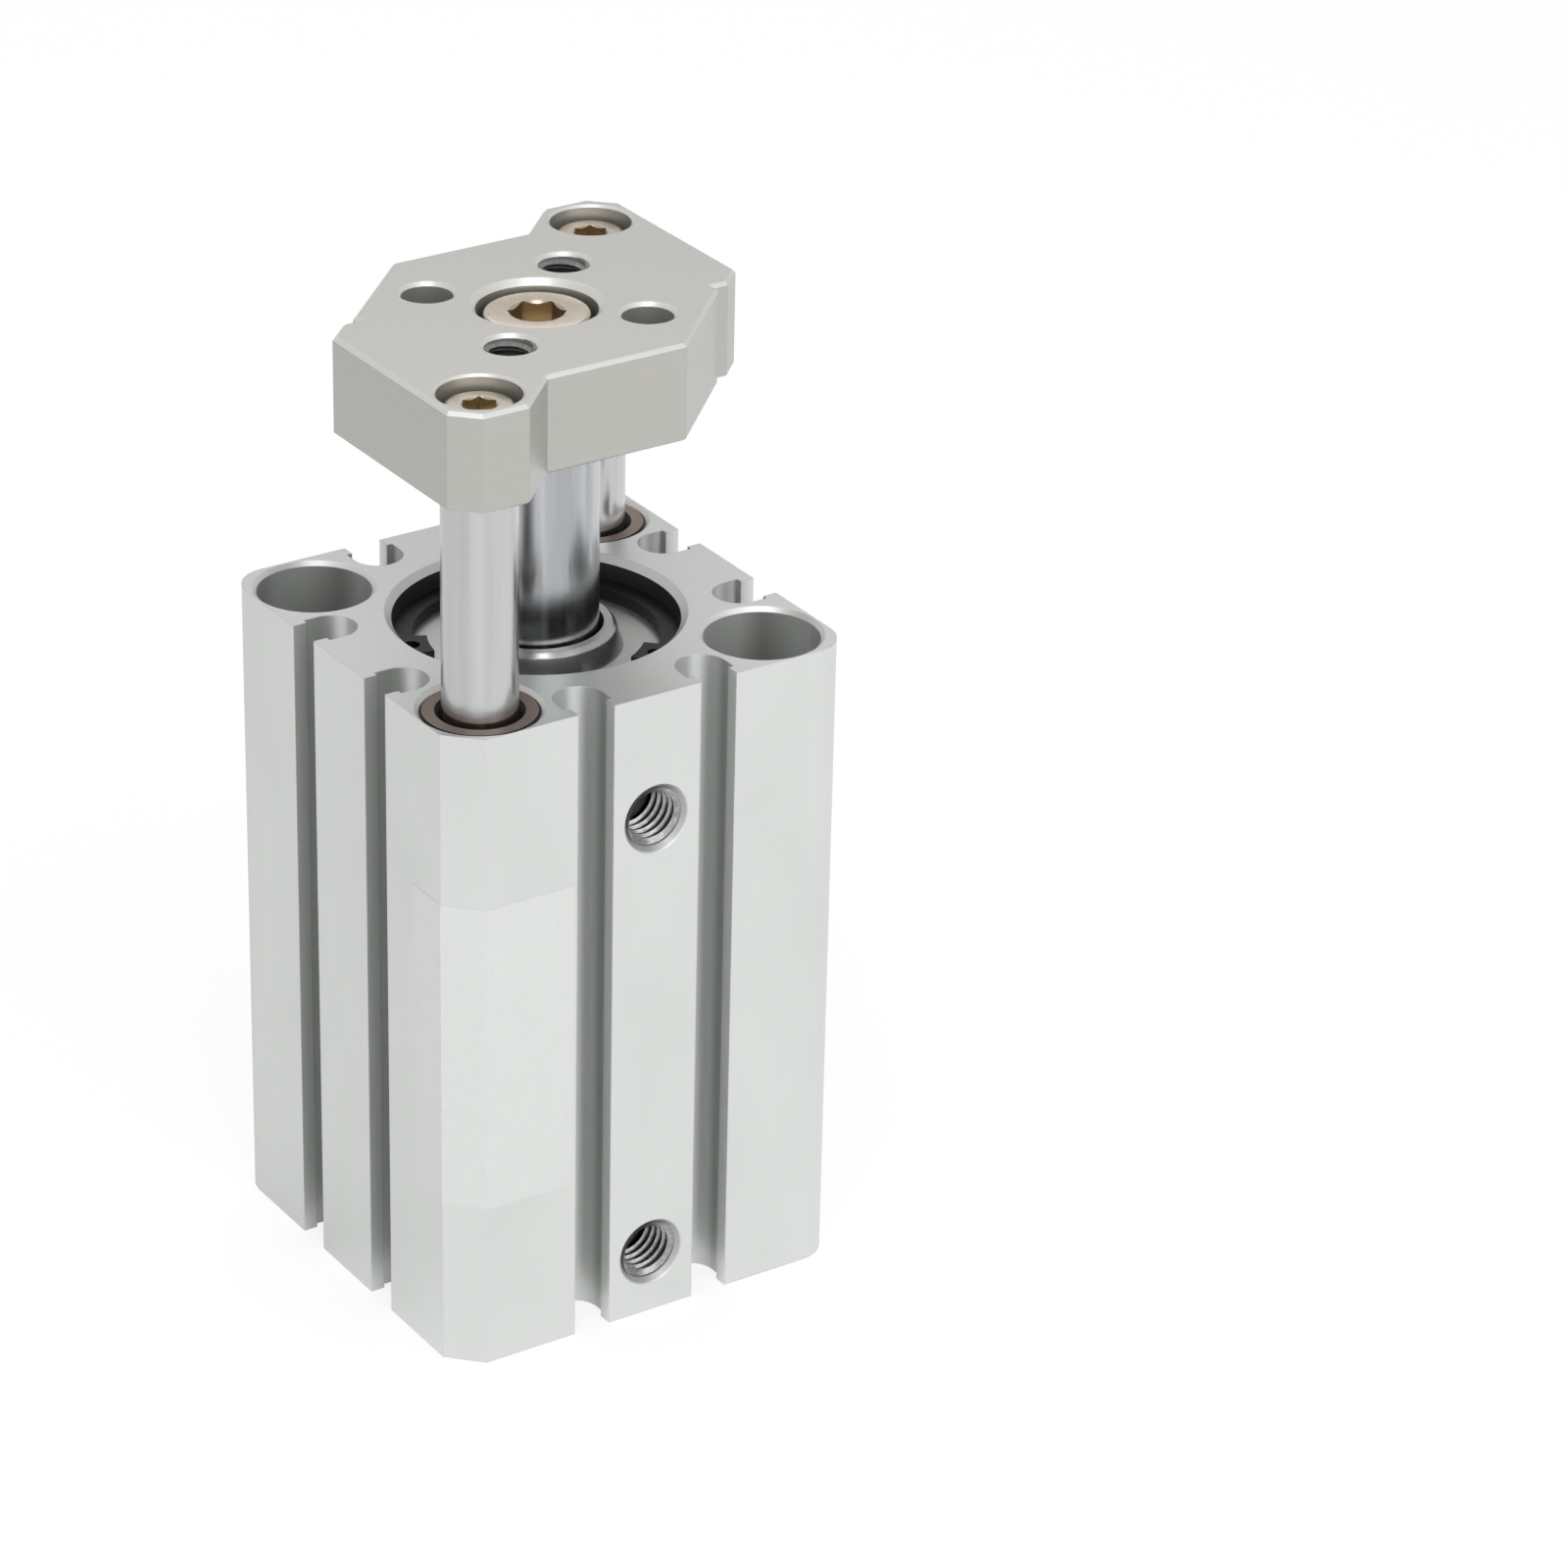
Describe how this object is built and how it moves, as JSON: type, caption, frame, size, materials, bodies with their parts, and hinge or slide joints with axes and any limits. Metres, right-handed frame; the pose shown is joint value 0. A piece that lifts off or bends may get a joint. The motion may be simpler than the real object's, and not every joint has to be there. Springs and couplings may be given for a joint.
{
  "type": "guided pneumatic cylinder",
  "caption": "Compact guided air cylinder: square grooved barrel with side ports, a chromed piston rod, and an end plate kept from turning by guide rods in bushes.",
  "frame": {"origin": "centre of the barrel's lower end", "axes": "+Z along the piston rod, out of the barrel; the two ports are in the face that looks along -Y; the guide rods stand in the corners (-X,-Y) and (+X,+Y)"},
  "size_m": [0.036, 0.036, 0.0816],
  "materials": {
    "anodised_aluminium": "satin anodised extrusion",
    "plate_aluminium": "satin anodised, machined",
    "machined_aluminium": "turned",
    "hard_chrome": "ground and hard-chromed steel",
    "nickel_plated_steel": "nickel-plated steel",
    "phosphated_spring_steel": "black phosphated spring steel",
    "sintered_bronze": "oil-filled sintered bronze",
    "nitrile_rubber": "moulded",
    "urethane_rubber": "moulded",
    "bonded_magnet": "rubber-bonded ferrite",
    "acetal": "natural white"
  },
  "bodies": {
    "barrel": {"cylinder_body": "anodised_aluminium", "head_plate": "machined_aluminium", "head_plate_oring": "nitrile_rubber", "rod_cover": "machined_aluminium", "rod_cover_oring": "nitrile_rubber", "rod_seal": "nitrile_rubber", "retaining_ring": "phosphated_spring_steel", "front_upper_guide_bush": "sintered_bronze", "front_lower_guide_bush": "sintered_bronze", "back_upper_guide_bush": "sintered_bronze", "back_lower_guide_bush": "sintered_bronze", "head_side_bumper": "urethane_rubber", "rod_side_bumper": "urethane_rubber"},
    "rod_assembly": {"end_plate": "plate_aluminium", "piston_rod": "hard_chrome", "front_guide_rod": "hard_chrome", "back_guide_rod": "hard_chrome", "piston": "machined_aluminium", "piston_magnet": "bonded_magnet", "piston_seal": "nitrile_rubber", "piston_wear_ring": "acetal", "rod_screw": "nickel_plated_steel", "front_guide_screw": "nickel_plated_steel", "back_guide_screw": "nickel_plated_steel"}
  },
  "joints": [
    {"name": "rod_slide", "type": "slide", "parent": "barrel", "child": "rod_assembly", "axis": [0, 0, 1], "range_m": [-0.0136, 0.0114]}
  ]
}
